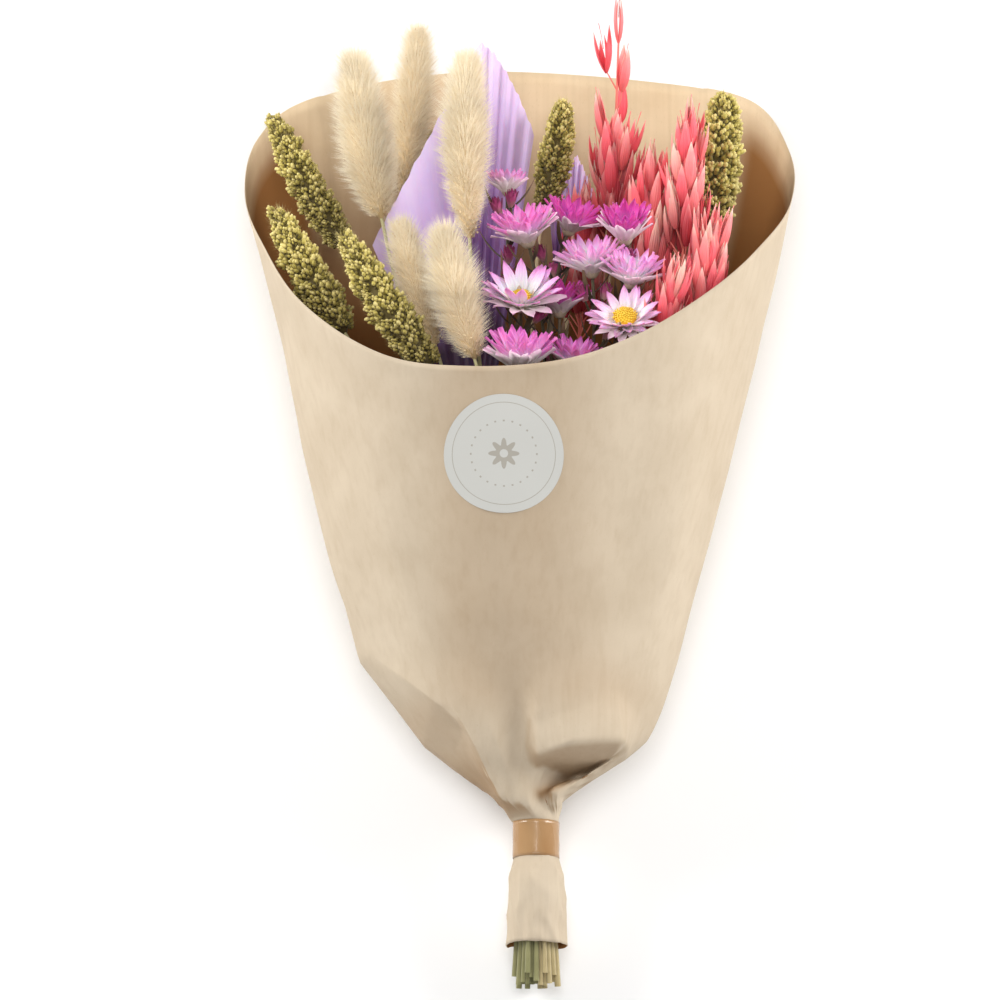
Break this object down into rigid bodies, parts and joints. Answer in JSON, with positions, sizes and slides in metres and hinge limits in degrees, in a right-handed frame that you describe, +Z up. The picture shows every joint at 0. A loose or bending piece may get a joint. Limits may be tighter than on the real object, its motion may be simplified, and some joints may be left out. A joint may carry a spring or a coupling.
{
  "type": "mixed dried flower bouquet",
  "caption": "Hand-tied bouquet of dried grasses, dyed oats, lilac palm and pink everlastings in a kraft paper cone, lying on its back",
  "frame": {"origin": "middle of the bounding box on the surface that the bouquet lies on", "axes": "+Y along the bouquet from the cut stems to the flower heads, +Z up from the flat back to the open front, +X to the right when the front is seen from above with the heads away from the viewer"},
  "size_m": [0.2439, 0.4355, 0.1186],
  "materials": {
    "kraft_paper": "uncoated ribbed kraft, warm beige, browner inside",
    "white_label": "matt white label with a thin printed ring",
    "tan_tape": "glossy tan packing tape",
    "elastic": "matt tan",
    "millet": "dry olive seed clusters with straw tips",
    "hares_tail": "soft cream beige hair",
    "coral_oat": "dry dyed husk, coral to salmon",
    "lilac_palm": "dry dyed leaf, lilac, satin",
    "pink_bracts": "papery bracts, magenta tips to pale bases",
    "yellow_florets": "granular golden florets",
    "straw_stem": "dry straw green"
  },
  "bodies": {
    "root": {"kraft_wrap": "kraft_paper", "round_label": "white_label", "neck_tape": "tan_tape", "stem_tie": "elastic", "foxtail_1": "millet", "foxtail_2": "millet", "foxtail_3": "millet", "foxtail_4": "millet", "foxtail_5": "millet", "foxtail_6": "millet", "bunny_tail_1": "hares_tail", "bunny_tail_2": "hares_tail", "bunny_tail_3": "hares_tail", "bunny_tail_4": "hares_tail", "bunny_tail_5": "hares_tail", "oat_sprig_1": "coral_oat", "oat_sprig_2": "coral_oat", "oat_sprig_3": "coral_oat", "oat_sprig_4": "coral_oat", "oat_sprig_5": "coral_oat", "oat_sprig_6": "coral_oat", "palm_spear_1": "lilac_palm", "palm_spear_2": "lilac_palm", "everlasting_1_bracts": "pink_bracts", "everlasting_1_disc": "yellow_florets", "everlasting_1_stem": "straw_stem", "everlasting_2_bracts": "pink_bracts", "everlasting_2_disc": "yellow_florets", "everlasting_2_stem": "straw_stem", "everlasting_3_bracts": "pink_bracts", "everlasting_3_disc": "yellow_florets", "everlasting_3_stem": "straw_stem", "everlasting_4_bracts": "pink_bracts", "everlasting_4_disc": "yellow_florets", "everlasting_4_stem": "straw_stem", "everlasting_5_bracts": "pink_bracts", "everlasting_5_disc": "yellow_florets", "everlasting_5_stem": "straw_stem", "everlasting_6_bracts": "pink_bracts", "everlasting_6_disc": "yellow_florets", "everlasting_6_stem": "straw_stem", "everlasting_7_bracts": "pink_bracts", "everlasting_7_disc": "yellow_florets", "everlasting_7_stem": "straw_stem", "everlasting_8_bracts": "pink_bracts", "everlasting_8_disc": "yellow_florets", "everlasting_8_stem": "straw_stem", "everlasting_9_bracts": "pink_bracts", "everlasting_9_disc": "yellow_florets", "everlasting_9_stem": "straw_stem", "everlasting_10_bracts": "pink_bracts", "everlasting_10_disc": "yellow_florets", "everlasting_10_stem": "straw_stem", "everlasting_11_bracts": "pink_bracts", "everlasting_11_disc": "yellow_florets", "everlasting_11_stem": "straw_stem"}
  },
  "joints": []
}
